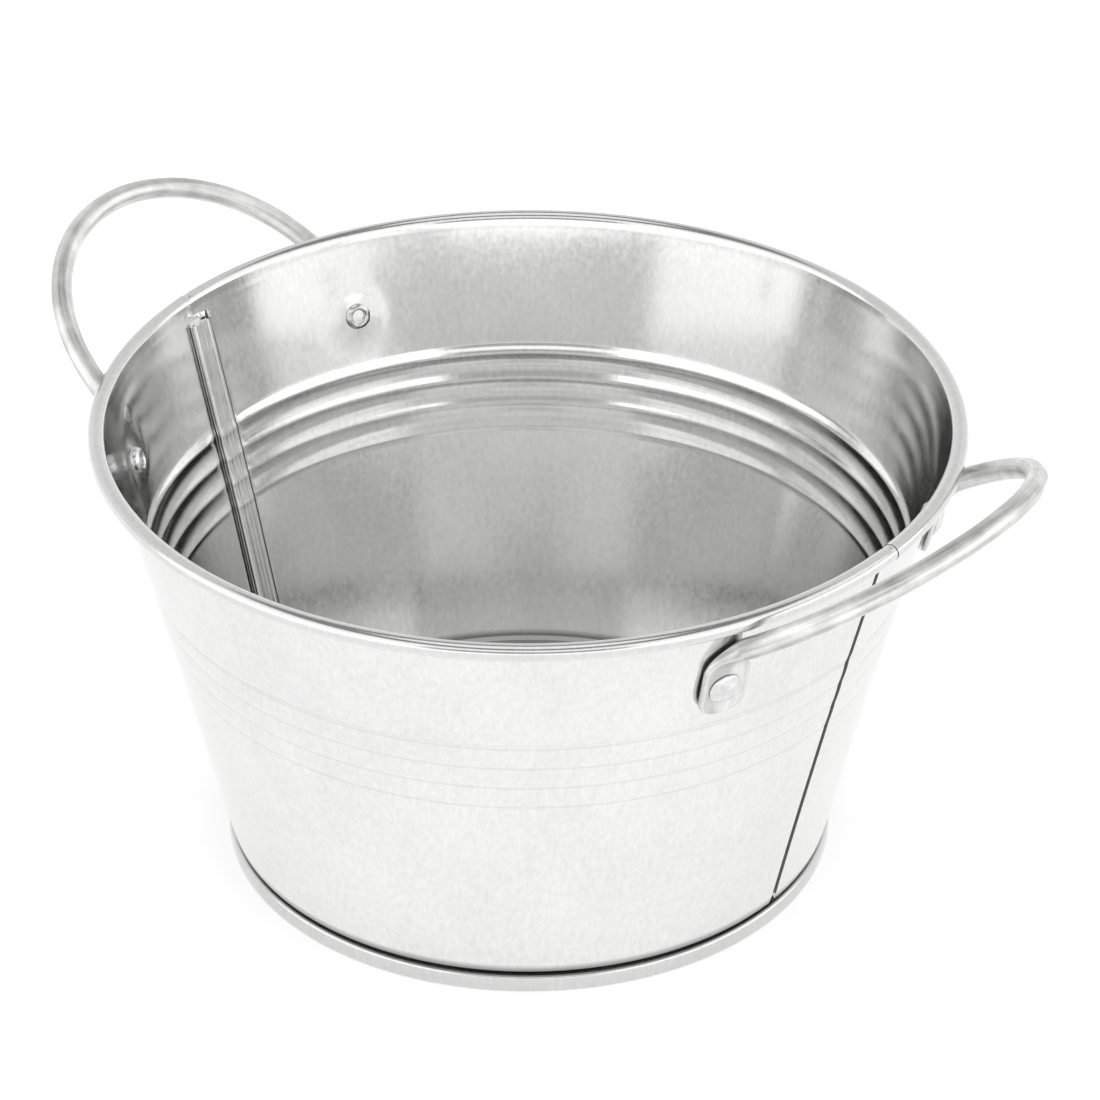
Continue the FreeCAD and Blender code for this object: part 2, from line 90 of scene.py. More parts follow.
CREASES = ((69.2, 0.55), (63.8, 0.40), (58.4, 0.27), (53.0, 0.13))
BEAD_RISES = (0.47, 0.37, 0.28)
CREASE_FOOT = 0.6
CREASE_FLANK = 2.2
CREASE_SOFTNESS = 0.35

# Distance between the rows of the wall's mesh, in the bead band and outside it.
FINE_STEP = 0.42
COARSE_STEP = 1.9

SEAM_WIDTH = 5.5
SEAM_FOOT = 6.6
SEAM_HEAD = 94.0
SEAM_GAP = 0.06
SEAM_OPENING = 0.16
JOG_LENGTH = 0.4
SEAM_BEAD_SHARE = 0.3
# The right seam line's angle at the rim and how far it leans by the foot; the left seam line's angle.
RIGHT_SEAM = -0.75
RIGHT_SEAM_LEAN = 1.6
LEFT_SEAM = 179.35
# How far the seam's stations reach along the wall on each side of the line, in millimetres.
SEAM_MARGIN = 9.9
NOTCH_WIDTH = 0.75
CURL_SLIT = 0.03
# How much the curl's edges step in and out where they meet.
CURL_STEP = (0.09, -0.07)
# Depth of the raised strip across its width, in layers: fine ridges left by the grooving tool.
STRIP_GROOVES = (
    (0.35, 3.22), (0.8, 3.05), (1.15, 2.92), (1.5, 3.1), (1.95, 3.14), (2.3, 2.95),
    (2.7, 3.08), (3.2, 3.12), (3.6, 2.94), (4.0, 3.1), (4.5, 3.2),
)
BEAD_FADE = 3.6

RIVET_HEIGHT = 81.5
RIVET_HALF_ANGLE = 27.5
SEAT_GAP = 0.08
# The dish round each rivet's tail and the swell round the dish: depth and spread, then the swell's radius.
DISH_DEPTH = 0.34
DISH_SPREAD = 4.4
SWELL_RISE = 0.12
SWELL_SPREAD = 2.8
SWELL_RADIUS = 7.0
DISH_REACH = 16

ROD = 2.2
LEG = 0.5
# Each loop: where it starts (outward, up), its tilt, its radius and how far it sits off centre.
RIGHT_LOOP = (80.4, 92.4, 33.6, 38.7, 0.0)
LEFT_LOOP = (80.4, 92.5, 34.2, 37.2, -0.9)
TAB_HALF_WIDTH = 5.0
TAB_THICKNESS = 1.6
TAB_DROP = 6.8
TAB_CORNER = 3.4
# The tab is thinner than its CAD twin by this much on its back.
TAB_BACK_RELIEF = 0.4
# Powers of the superellipse that makes the rod's section: round, and nearly square in the tab.
ROUND = 2.0
SQUARE = 7.0

CAMERA_LENS = 170.4
CAMERA_PLACE = Vector((536.4, -749.8, 632.1))
CAMERA_TARGET = Vector((3.65, 2.58, 66.53))

# The studio's light by direction. Sides are angles from +X, the edge is the cosine of the angle from the
# side, and rises are the upward part of a direction of length 1.
BRIGHT_SIDE = -49.0
BRIGHT_EDGE = -0.28
FRONT_RISE = (0.2, 0.75)
FRONT_LOW = 1.75
FRONT_HIGH = 1.15
BACK_RISE = (0.38, 0.52)
BACK_LOW = 0.95
BACK_HIGH = 0.84
CEILING_RISE = (0.78, 0.84)
CEILING = 0.3
OVERHEAD_RISE = (0.945, 0.96)
OVERHEAD = 1.2
FLOOR_GLOW = 0.31
GAP_SIDE = -54.7
GAP_HALF_WIDTH = 26.0
GAP_FOOT_RISE = (0.14, 0.22)
GAP_HEAD_RISE = (0.50, 0.56)
GAP_LIGHT = 0.3

# --- small tools ----------------------------------------------------------------------------------


def ramp(low, high, value):
    """0 below low, 1 above high, smooth between."""
    share = min(max((value - low) / (high - low), 0.0), 1.0)
    return share * share * (3 - 2 * share)


def arc(centre, radius, start, end, steps):
    """Points on a circle from one angle to another, ends included."""
    points = []
    for step in range(steps + 1):
        angle = math.radians(start + (end - start) * step / steps)
        points.append(Vector((centre[0] + radius * math.cos(angle), centre[1] + radius * math.sin(angle))))
    return points


def rounded(corners, steps=6):
    """A path through corners given as (across, up, radius), each corner rounded by an arc of its radius."""
    points = []
    for index, (across, up, radius) in enumerate(corners):
        corner = Vector((across, up))
        if radius == 0 or index in (0, len(corners) - 1):
            points.append(corner)
            continue
        back = (Vector(corners[index - 1][:2]) - corner).normalized()
        ahead = (Vector(corners[index + 1][:2]) - corner).normalized()
        half = back.angle(ahead) / 2
        centre = corner + (back + ahead).normalized() * (radius / math.sin(half))
        first = corner + back * (radius / math.tan(half)) - centre
        last = corner + ahead * (radius / math.tan(half)) - centre
        for step in range(steps + 1):
            share = step / steps
            spread = first.angle(last)
            swing = first * math.sin((1 - share) * spread) + last * math.sin(share * spread)
            points.append(centre + swing / math.sin(spread))
    return points


def subdivided(points, longest):
    """The same path with extra points wherever a straight run is longer than the longest step."""
    dense = [points[0]]
    for start, end in zip(points, points[1:]):
        pieces = max(1, math.ceil((end - start).length / longest))
        dense += [start.lerp(end, step / pieces) for step in range(1, pieces + 1)]
    return dense


def path_normals(points):
    """Left-hand unit normals along a flat path."""
    normals = []
    for index in range(len(points)):
        run = points[min(index + 1, len(points) - 1)] - points[max(index - 1, 0)]
        normals.append(Vector((-run.y, run.x)).normalized())
    return normals


def new_piece(name, mesh_data, node):
    """A mesh object made from a bmesh in millimetres, standing for a CAD node."""
    mesh_data.transform(Matrix.Scale(MM, 4))
    mesh = bpy.data.meshes.new(name)
    mesh_data.to_mesh(mesh)
    mesh_data.free()
    piece = bpy.data.objects.new(name, mesh)
    bpy.context.collection.objects.link(piece)
    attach(piece, BODY)
    if node:
        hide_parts(node)
    return piece


def grid_faces(made, rows, closed=False, keep=lambda row, column: True, paint=lambda row, column: 0):
    """Join a grid of vertices with faces; keep chooses the cells and paint their material."""
    width = len(rows[0])
    for row in range(len(rows) - 1):
        for column in range(width if closed else width - 1):
            if not keep(row, column):
                continue
            following = (column + 1) % width
            near = (rows[row][column], rows[row][following])
            far = (rows[row + 1][following], rows[row + 1][column])
            made.faces.new(near + far).material_index = paint(row, column)


def apply_modifiers(piece):
    """Swap the mesh for the one its modifiers make."""
    evaluated = piece.evaluated_get(bpy.context.evaluated_depsgraph_get())
    mesh = bpy.data.meshes.new_from_object(evaluated)
    piece.modifiers.clear()
    piece.data = mesh


def smooth(piece, edge_angle=38):
    """Smooth shading, with edges sharper than the angle left crisp."""
    for polygon in piece.data.polygons:
        polygon.use_smooth = True
    piece.data.set_sharp_from_angle(angle=math.radians(edge_angle))


# --- camera ---------------------------------------------------------------------------------------

def make_camera():
    """The camera of the main view."""
    camera = bpy.data.objects.new("camera", bpy.data.cameras.new("camera"))
    bpy.context.collection.objects.link(camera)
    camera.data.sensor_width = 36
    camera.data.lens = CAMERA_LENS
    camera.location = CAMERA_PLACE * MM
    camera.rotation_euler = (CAMERA_TARGET - CAMERA_PLACE).to_track_quat("-Z", "Y").to_euler()
    camera.data.clip_start = 0.01
    camera.data.clip_end = 30
    bpy.context.scene.camera = camera


make_camera()

# --- materials ------------------------------------------------------------------------------------


def new_material(name):
    """A material with its tree emptied down to a Principled shader and the output."""
    material = bpy.data.materials.new(name)
    material.use_nodes = True
    tree = material.node_tree
    tree.nodes.clear()
    output = tree.nodes.new("ShaderNodeOutputMaterial")
    shader = tree.nodes.new("ShaderNodeBsdfPrincipled")
    tree.links.new(shader.outputs["BSDF"], output.inputs["Surface"])
    return material, tree, shader


def stretched_noise(tree, scale, detail=3.0, roughness=0.5, source="Object"):
    """Noise on the object's own coordinates in metres, with its own scale along each axis."""
    place = tree.nodes.new("ShaderNodeTexCoord")
    mapping = tree.nodes.new("ShaderNodeMapping")
    mapping.inputs["Scale"].default_value = scale
    pattern = tree.nodes.new("ShaderNodeTexNoise")
    pattern.inputs["Scale"].default_value = 1.0
    pattern.inputs["Detail"].default_value = detail
    pattern.inputs["Roughness"].default_value = roughness
    tree.links.new(place.outputs[source], mapping.inputs["Vector"])
    tree.links.new(mapping.outputs["Vector"], pattern.inputs["Vector"])
    return pattern.outputs["Fac"]


def graded(tree, value, low, high, to_low, to_high):
    """Map a value from one range to another, clamped."""
    node = tree.nodes.new("ShaderNodeMapRange")
    tree.links.new(value, node.inputs["Value"])
    node.inputs["From Min"].default_value = low
    node.inputs["From Max"].default_value = high
    node.inputs["To Min"].default_value = to_low
    node.inputs["To Max"].default_value = to_high
    return node.outputs["Result"]


def calculated(tree, operation, first, second=0.0):
    """One Math node; an operand is a socket or a plain number."""
    node = tree.nodes.new("ShaderNodeMath")
    node.operation = operation
    for socket, operand in zip(node.inputs, (first, second)):
        if isinstance(operand, bpy.types.NodeSocket):
            tree.links.new(operand, socket)
        else:
            socket.default_value = operand
    return node.outputs["Value"]


def tinted(tree, value, dark, light):
    """A colour between two, by a value from 0 to 1."""
    node = tree.nodes.new("ShaderNodeMix")
    node.data_type = "RGBA"
    tree.links.new(value, node.inputs["Factor"])
    node.inputs[6].default_value = (*dark, 1)
    node.inputs[7].default_value = (*light, 1)
    return node.outputs[2]


def bumped(tree, shader, layers):
    """Chain bump nodes into the shader's normal; each layer is (height, depth in millimetres)."""
    normal = None
    for height, depth in layers:
        node = tree.nodes.new("ShaderNodeBump")
        node.inputs["Strength"].default_value = 1.0
        node.inputs["Distance"].default_value = depth * MM
        tree.links.new(height, node.inputs["Height"])
        if normal:
            tree.links.new(normal, node.inputs["Normal"])
        normal = node.outputs["Normal"]
    tree.links.new(normal, shader.inputs["Normal"])


def painted_crease_shade(tree, height):
    """Painted shade: a tone that falls in a thin line at each crease of the bead band."""
    top = CREASES[0][0] * MM
    foot = CREASES[-1][0] * MM
    pitch = (top - foot) / (len(CREASES) - 1)
    pitches = calculated(tree, "DIVIDE", calculated(tree, "SUBTRACT", height, foot), pitch)
    above_foot = calculated(tree, "MAXIMUM", pitches, 0.0)
    within = calculated(tree, "MINIMUM", above_foot, len(CREASES) - 1.0)
    nearest = calculated(tree, "ROUND", within)
    away = calculated(tree, "ABSOLUTE", calculated(tree, "SUBTRACT", pitches, nearest))
    return graded(tree, away, CREASE_SHADE_LINE[0], CREASE_SHADE_LINE[1], CREASE_SHADE_TONE, 1.0)


def base_tone(tree, place, height):
    """The tone of the base: lower on the foot ring, with painted shade darkening the edge of the floor in the
    inside corner.
    """
    length = tree.nodes.new("ShaderNodeVectorMath")
    length.operation = "LENGTH"
    tree.links.new(place, length.inputs[0])
    distance = length.outputs["Value"]
    # Painted shade: the floor's edge darkens in the inside corner.
    edge = graded(tree, distance, CORNER_SHADE[0] * MM, CORNER_SHADE[1] * MM, 1.0, CORNER_SHADE_TONE)
    above_ring = graded(tree, height, (RING_HEIGHT + 0.1) * MM, (RING_HEIGHT + 0.4) * MM, 0.0, 1.0)
    floor = calculated(tree, "MAXIMUM", edge, calculated(tree, "SUBTRACT", 1.0, above_ring))
    ring = graded(tree, above_ring, 0.0, 1.0, RING_TONE, 1.0)
    return calculated(tree, "MULTIPLY", ring, floor)


def wall_tone(tree, height):
    """The tone of the wall: lower on the rim, with painted shade at the foot and along the creases."""
    rim = graded(tree, height, RIM_DULL[0] * MM, RIM_DULL[1] * MM, 1.0, RIM_TONE)
    # Painted shade in the inside corner at the wall's foot.
    foot = graded(tree, height, FOOT_SHADE[0] * MM, FOOT_SHADE[1] * MM, FOOT_SHADE_TONE, 1.0)
    ends = calculated(tree, "MULTIPLY", rim, foot)
    return calculated(tree, "MULTIPLY", ends, painted_crease_shade(tree, height))


def make_sheet_material(name, base):
    """Bright galvanised sheet: fine upright grain, cloudy zinc and slightly uneven gloss."""
    material, tree, shader = new_material(name)
    shader.inputs["Metallic"].default_value = 1.0
    grain = stretched_noise(tree, (1500, 1500, 45), detail=4, roughness=0.6)
    speckle = stretched_noise(tree, (900, 900, 700), detail=3, roughness=0.6)
    cloud = stretched_noise(tree, (55, 55, 38), detail=5, roughness=0.55)
    clouded = graded(tree, cloud, 0.3, 0.7, 0.0, 1.0)
    grained = graded(tree, calculated(tree, "ADD", grain, speckle), 0.7, 1.3, 0.77, 0.94)
    tone = calculated(tree, "ADD", grained, graded(tree, clouded, 0, 1, 0.0, 0.09))
    place = tree.nodes.new("ShaderNodeTexCoord")
    split = tree.nodes.new("ShaderNodeSeparateXYZ")
    tree.links.new(place.outputs["Object"], split.inputs["Vector"])
    height = split.outputs["Z"]
    # Painted shade at the wall's foot, along the creases and at the floor's edge, together with the rim and
    # ring tones.
    tone_with_painted_shade = base_tone(tree, place.outputs["Object"], height) if base else wall_tone(tree, height)
    tone = calculated(tree, "MULTIPLY", tone, tone_with_painted_shade)
    tree.links.new(tinted(tree, tone, SHEET_DARK, SHEET_LIGHT), shader.inputs["Base Color"])
    clouded_gloss = graded(tree, clouded, 0, 1, 0.105, 0.15)
    gloss = calculated(tree, "ADD", clouded_gloss, graded(tree, speckle, 0.3, 0.7, -0.02, 0.03))
    tree.links.new(gloss, shader.inputs["Roughness"])
    ripple = stretched_noise(tree, (330, 330, 210), detail=2, roughness=0.5)
    bumped(tree, shader, [(ripple, 0.010), (grain, 0.0028), (speckle, 0.0028)])
    return material


def make_seam_shade_material():
    """Painted shade: dark, dull zinc colour deep in the folds of the lock seams, where the slit lies in shade.
    """
    material, tree, shader = new_material("seam_painted_shade")
    shader.inputs["Metallic"].default_value = 1.0
    shader.inputs["Base Color"].default_value = (0.10, 0.10, 0.10, 1)
    shader.inputs["Roughness"].default_value = 0.6
    return material


def make_rod_material():
    """Duller galvanised rod with streaks drawn along its length."""
    material, tree, shader = new_material("galvanised_rod")
    shader.inputs["Metallic"].default_value = 1.0
    streak = stretched_noise(tree, (900, 26, 0), detail=5, roughness=0.65, source="UV")
    patch = stretched_noise(tree, (160, 160, 160), detail=5, roughness=0.6)
    streaked = graded(tree, streak, 0.36, 0.64, 0.0, 0.6)
    tone = calculated(tree, "ADD", streaked, graded(tree, patch, 0.36, 0.64, 0.0, 0.4))
    tree.links.new(tinted(tree, tone, (0.42, 0.42, 0.415), (0.92, 0.92, 0.91)), shader.inputs["Base Color"])
    tree.links.new(graded(tree, patch, 0.3, 0.7, 0.32, 0.48), shader.inputs["Roughness"])
    bumped(tree, shader, [(streak, 0.012), (patch, 0.02)])
    return material


def make_rivet_material():
    """Bright plated rivet with small hammer and tool marks."""
    material, tree, shader = new_material("rivet_metal")
    shader.inputs["Metallic"].default_value = 1.0
    mark = stretched_noise(tree, (500, 500, 500), detail=4, roughness=0.6)
    tone = graded(tree, mark, 0.3, 0.7, 0.0, 1.0)
    tree.links.new(tinted(tree, tone, (0.60, 0.60, 0.60), (0.82, 0.82, 0.82)), shader.inputs["Base Color"])
    tree.links.new(graded(tree, mark, 0.3, 0.7, 0.18, 0.34), shader.inputs["Roughness"])
    bumped(tree, shader, [(mark, 0.03)])
    return material


SHEET_METAL = make_sheet_material("galvanised_sheet", base=False)
BASE_METAL = make_sheet_material("galvanised_base", base=True)
SEAM_SHADE = make_seam_shade_material()
ROD_METAL = make_rod_material()
RIVET_METAL = make_rivet_material()

# --- wall sheets ----------------------------------------------------------------------------------


def wall_radius(height):
    """Outer face of the plain wall."""
    lower = min(height, BEND_HEIGHT)
    return WALL_FOOT_RADIUS + WALL_SLOPE * lower + UPPER_SLOPE * (height - lower)


def crease_depth(height):
    """How far the wall is pressed inward at a height by the bead band, before softening."""
    top_height, top_depth = CREASES[0]
    if height >= top_height + CREASE_FLANK or height <= CREASES[-1][0] - CREASE_FOOT:
        return 0.0
    if height >= top_height:
        return top_depth * (1 - ramp(0, CREASE_FLANK, height - top_height))
    if height <= CREASES[-1][0]:
        return CREASES[-1][1] * (height - CREASES[-1][0] + CREASE_FOOT) / CREASE_FOOT
    for (upper, upper_depth), (lower, lower_depth), rise in zip(CREASES, CREASES[1:], BEAD_RISES):
        if height >= lower:
            share = (height - lower) / (upper - lower)
            return lower_depth + (upper_depth - lower_depth) * share - rise * 4 * share * (1 - share)
    return 0.0


def bead_depth(height):
    """Crease depth with its corners softened over a small window."""
    samples = 5
    total = 0.0
    for index in range(samples):
        total += crease_depth(height + CREASE_SOFTNESS * (2 * index / (samples - 1) - 1))
    return total / samples


def waviness(angle, height):
    """Slow unevenness of hand-worked sheet, in millimetres inward, fading out at the foot."""
    mean_radius = 75
    spot = Vector((math.cos(angle), math.sin(angle), height / mean_radius)) * mean_radius
    slow = 0.05 * noise.noise(spot / 38)
    quick = 0.014 * noise.noise(spot / 15 + Vector((7, 3, 1)))
    return (slow + quick) * ramp(SHOULDER_HEIGHT, 14, height)


def rivet_dent(angle, height):
    """The shallow dish that setting a rivet leaves round its tail, in millimetres inward."""
    dent = 0.0
    for seat_angle in (RIVET_HALF_ANGLE, 180 - RIVET_HALF_ANGLE, 180 + RIVET_HALF_ANGLE, -RIVET_HALF_ANGLE):
        turn = (math.degrees(angle) - seat_angle + 180) % 360 - 180
        across = math.radians(turn) * wall_radius(RIVET_HEIGHT)
        up = (height - RIVET_HEIGHT) / math.cos(WALL_LEAN)
        distance = math.hypot(across, up)
        if distance < DISH_REACH:
            dish = DISH_DEPTH * math.exp(-((distance / DISH_SPREAD) ** 2))
            swell = SWELL_RISE * math.exp(-(((distance - SWELL_RADIUS) / SWELL_SPREAD) ** 2))
            dent += dish - swell
    return dent


def sheet_rows():
    """The half sheet's middle surface in section, from the hook in the base seam to the end of the curl.
    Each row is (point, inward normal, kind)."""
    hook = RING_RADIUS - LAYER - SHEET / 2
    wall = RING_RADIUS - 3 * LAYER - SHEET / 2
    fold = (hook - wall) / 2
    foot = LAYER + SHEET / 2 + fold
    points = subdivided([Vector((hook, RING_HEIGHT - LAYER)), Vector((hook, foot))], 1.5)
    points += arc(((hook + wall) / 2, foot), fold, 0, -180, 8)[1:]
    shoulder = wall_radius(SHOULDER_HEIGHT) - SHEET / 2 / math.cos(WALL_LEAN)
    neck = rounded([(wall, foot, 0), (wall, NECK_HEIGHT, 0.7), (shoulder, SHOULDER_HEIGHT, 0.8),
                    (shoulder + WALL_SLOPE * 2, SHOULDER_HEIGHT + 2, 0)], 5)
    points += neck[1:]
    seam_count = len(points)
    levels = []
    height = neck[-1].y
    band_low = CREASES[-1][0] - 1.5
    band_high = CREASES[0][0] + CREASE_FLANK + 1.0
    while height < FLARE_HEIGHT - 3.2:
        inside_band = band_low <= height < band_high
        step = FINE_STEP if inside_band else COARSE_STEP
        height = min(height + step, band_low) if height < band_low else height + step
        levels.append(height)
    for level, _ in CREASES:
        levels += [level + offset for offset in (-0.34, -0.22, -0.12, 0.0, 0.12, 0.22, 0.34)]
    levels.append(SEAM_HEAD)
    levels = sorted(set(round(level, 3) for level in levels if level < FLARE_HEIGHT - 1))
    centre_line = SHEET / 2 / math.cos(WALL_LEAN)
    points += [Vector((wall_radius(level) - centre_line, level)) for level in levels]
    tube = CURL_TUBE - SHEET / 2
    curl = arc((CURL_RADIUS, CURL_HEIGHT), tube, CURL_START, CURL_END, 34)
    flare_levels = (FLARE_HEIGHT - 1.2, FLARE_HEIGHT - 0.2)
    flare = [Vector((wall_radius(level) - centre_line, level)) for level in flare_levels]
    flare.append(curl[0])
    wall_end = len(points)
    points += flare + curl[1:]
    kinds = ["foot"] * seam_count + ["wall"] * (wall_end - seam_count) + ["curl"] * (len(points) - wall_end)
    return list(zip(points, path_normals(points), kinds))


def seam_line(side, point, kind):
    """Angle of the seam line of one side (0 at +X, 1 at -X) beside a point of the section."""
    height = point.y
    if side == 0:
        return math.radians(RIGHT_SEAM - RIGHT_SEAM_LEAN * ramp(0, 98, 98 - height))
    angle = math.radians(LEFT_SEAM)
    if kind == "curl":
        lap = 4.6 - 2.0 * ramp(CURL_RADIUS - CURL_TUBE, CURL_RADIUS + CURL_TUBE, point.x)
        angle += lap / point.x
    return angle


def seam_share(height, kind):
    """1 where the lock seam is folded, falling to 0 past its notched ends."""
    if kind == "curl":
        return 0.0
    return ramp(SEAM_FOOT - 1.4, SEAM_FOOT, height) * (1 - ramp(SEAM_HEAD, SEAM_HEAD + 1.5, height))


def sheet_columns():
    """Stations across the half sheet, each as
    (part, share of the way round, millimetres past the seam line, layers inward)."""
    columns = []
    gap = SEAM_GAP
    bend = LAYER
    # The edge that starts the sheet: free edge of the return, fold, then the wall over the strip.
    return_end = SEAM_WIDTH - 1.1
    steps = 5
    for step in range(steps):
        columns.append(("start_return", 0, return_end + (gap + bend - return_end) * step / steps, 2.0))
    fold_steps = 8
    for step in range(fold_steps + 1):
        angle = math.pi * step / fold_steps
        part = "start_return" if step < fold_steps / 2 else "start_fold"
        columns.append((part, 0, gap + bend - bend * math.sin(angle), 1 + math.cos(angle)))
    for across in (0.9, 1.8, 2.8, 3.9, 5.0, 6.0, 7.0, 8.1, 9.3):
        columns.append(("main", 0, across, 0.0))
    # The wall itself, then the jog, the inner layer, its fold and its return.
    stations = 150
    for step in range(1, stations):
        columns.append(("between", step / stations, 0.0, 0.0))
    for across in (9.5, 8.3, 7.2, 6.2, 5.2, 4.2, 3.2, 2.4):
        columns.append(("main", 1, -across, 0.0))
    for across, layers in ((1.8, -0.04), (1.2, -0.2), (0.8, -0.1)):
        columns.append(("main", 1, -across, layers))
    jog_steps = 8
    for step in range(jog_steps + 1):
        share = step / jog_steps
        across = -JOG_LENGTH + (JOG_LENGTH - gap / 2) * share
        columns.append(("jog", 1, across, 3 * ramp(0, 1, share)))
    for across, layers in STRIP_GROOVES:
        columns.append(("end_return", 1, across, layers))
    fold_centre = SEAM_WIDTH - bend
    for step in range(fold_steps + 1):
        angle = math.pi * step / fold_steps
        columns.append(("end_return", 1, fold_centre + bend * math.sin(angle), 2 + math.cos(angle)))
    for across in (4.0, 2.9, 2.0, 1.3):
        columns.append(("end_return", 1, across, 1.0))
    return columns


def bead_share(share_round, across):
    """How fully the beads are pressed at a station near a seam, from the strip's share up to 1."""
    past = across - SEAM_WIDTH if share_round == 0 else -across - JOG_LENGTH
    return SEAM_BEAD_SHARE + (1 - SEAM_BEAD_SHARE) * ramp(0.2, BEAD_FADE, past)


def notch(height, kind):
    """Extra width of the gap at the seam line where the blank's corner is clipped, in millimetres."""
    top = ramp(SEAM_HEAD + 0.2, SEAM_HEAD + 0.9, height)
    top *= 1 - ramp(SEAM_HEAD + 1.6, SEAM_HEAD + 2.6, height)
    bottom = ramp(SHOULDER_HEIGHT - 0.9, SHOULDER_HEIGHT - 0.2, height)
    bottom *= 1 - ramp(SEAM_FOOT - 0.7, SEAM_FOOT, height)
    slit = SEAM_OPENING if kind == "wall" else CURL_SLIT
    return slit + NOTCH_WIDTH * max(top, bottom)


def sheet_vertex(row, column, half):
    """Where a station of the sheet lies at a level of the section. The back half is 0 and the front half 1."""
    point, normal, kind = row
    part, share_round, across, layers = column
    start = seam_line(half, point, kind)
    end = seam_line(1 - half, point, kind) + 2 * math.pi * half
    height = point.y
    if part == "between":
        first = start + SEAM_MARGIN / point.x
        last = end - SEAM_MARGIN / point.x
        angle = first + (last - first) * share_round
    else:
        angle = (start if share_round == 0 else end) + across / point.x
    opening = notch(height, kind)
    if part == "start_fold":
        angle += opening / point.x
    if part == "jog":
        angle -= opening / point.x
    depth = layers * LAYER
    if part in ("jog", "start_fold"):
        depth *= seam_share(height, kind)
    depth += waviness(angle, height)
    if kind == "wall":
        depth += bead_depth(height) * (1.0 if part == "between" else bead_share(share_round, across))
        depth += rivet_dent(angle, height)
    if kind == "curl" and part != "between":
        near = ramp(4.5, 0.0, abs(across))
        depth += CURL_STEP[share_round] * near * ramp(CURL_HEIGHT - 1.5, CURL_HEIGHT, height)
    spot = point + normal * depth
    return Vector((spot.x * math.cos(angle), spot.x * math.sin(angle), spot.y))


def make_half_sheet(node, half):
    """One half of the wall with its rim curl, beads, base hook and lock-seam folds, as one sheet."""
    rows = sheet_rows()
    columns = sheet_columns()
    made = bmesh.new()
    grid = [[made.verts.new(sheet_vertex(row, column, half)) for column in columns] for row in rows]

    def folded(row):
        point, _, kind = rows[row]
        return kind != "curl" and SEAM_FOOT - 1e-6 <= point.y <= SEAM_HEAD + 1e-6

    def keep(row, column):
        parts = (columns[column][0], columns[column + 1][0])
        if "start_return" in parts or "end_return" in parts:
            return folded(row) and folded(row + 1)
        return True

    def paint(row, column):
        # Faces of the jog and the fold inside the seam get the painted seam shade.
        deep = {columns[column][0], columns[column + 1][0]} & {"jog", "start_fold"}
        return 1 if deep and folded(row) else 0

    grid_faces(made, grid, keep=keep, paint=paint)
    loose = [vertex for vertex in made.verts if not vertex.link_faces]
    bmesh.ops.delete(made, geom=loose, context="VERTS")
    bmesh.ops.recalc_face_normals(made, faces=made.faces)
    piece = new_piece(node + "_metal", made, node)
    thick = piece.modifiers.new("thickness", "SOLIDIFY")
    thick.thickness = SHEET * MM
    thick.offset = 0
    apply_modifiers(piece)
    # The painted seam shade shows only outside, so faces that look inward get the bright sheet back.
    for polygon in piece.data.polygons:
        if polygon.normal.dot(Vector((*polygon.center[:2], 0))) < 0:
            polygon.material_index = 0
    smooth(piece)
    piece.data.materials.append(SHEET_METAL)
    piece.data.materials.append(SEAM_SHADE)
    return piece


# --- base -----------------------------------------------------------------------------------------

def make_base():
    """The floor, its countersink wall and the folded edge that makes the foot ring."""
    outer = RING_RADIUS - SHEET / 2
    hook = RING_RADIUS - 2 * LAYER - SHEET / 2
    inner = RING_RADIUS - 4 * LAYER - SHEET / 2
    fold = (outer - hook) / 2
    fold_height = RING_HEIGHT - SHEET / 2 - fold
    floor = FLOOR_TOP - SHEET / 2
    corners = [
        (0.6, floor, 0),
        (inner, floor, 0.9),
        (inner, SHEET / 2, 0.45),
        (outer, SHEET / 2, 0.45),
        (outer, fold_height, 0),
    ]
    path = rounded(corners, 5)
    path += arc(((outer + hook) / 2, fold_height), fold, 0, 180, 8)[1:]
    path.append(Vector((hook, 2 * LAYER + SHEET / 2 + 0.2)))
    path = subdivided(path, 2.0)
    segments = 300
    made = bmesh.new()
    rows = []
    for point in path:
        row = []
        for index in range(segments):
            angle = 2 * math.pi * index / segments
            sag = 0.0
            if point.x < inner - 1:
                spot = Vector((math.cos(angle) * point.x, math.sin(angle) * point.x, 0))
                from_edge = inner - point.x
                sag = 0.10 * noise.noise(spot / 30) * ramp(0, 8, from_edge) - 0.10 * ramp(0, 12, from_edge)
            place = (point.x * math.cos(angle), point.x * math.sin(angle), point.y + sag)
            row.append(made.verts.new(place))
        rows.append(row)
    grid_faces(made, rows, closed=True)
    made.faces.new(reversed(rows[0]))
    bmesh.ops.recalc_face_normals(made, faces=made.faces)
    piece = new_piece("base_disc_metal", made, "base_disc")
    thick = piece.modifiers.new("thickness", "SOLIDIFY")
    thick.thickness = SHEET * MM
    thick.offset = 0
    apply_modifiers(piece)
    smooth(piece)
    piece.data.materials.append(BASE_METAL)
    return piece


# --- handles --------------------------------------------------------------------------------------

def seat_axes(angle):
    """Sideways, up-the-wall and outward directions at an angle round the wall."""
    turn = math.radians(angle)
    sideways = Vector((-math.sin(turn), math.cos(turn), 0))
    lean = math.sin(WALL_LEAN)
    upward = Vector((lean * math.cos(turn), lean * math.sin(turn), math.cos(WALL_LEAN)))
    return sideways, upward, sideways.cross(upward)


def seat_point(angle, across=0.0, up=0.0, out=0.0):
    """A point near the rivet's seat on the wall."""
    sideways, upward, outward = seat_axes(angle)
    turn = math.radians(angle)
    radius = wall_radius(RIVET_HEIGHT)
    seat = Vector((radius * math.cos(turn), radius * math.sin(turn), RIVET_HEIGHT))
    return seat + sideways * across + upward * up + outward * out


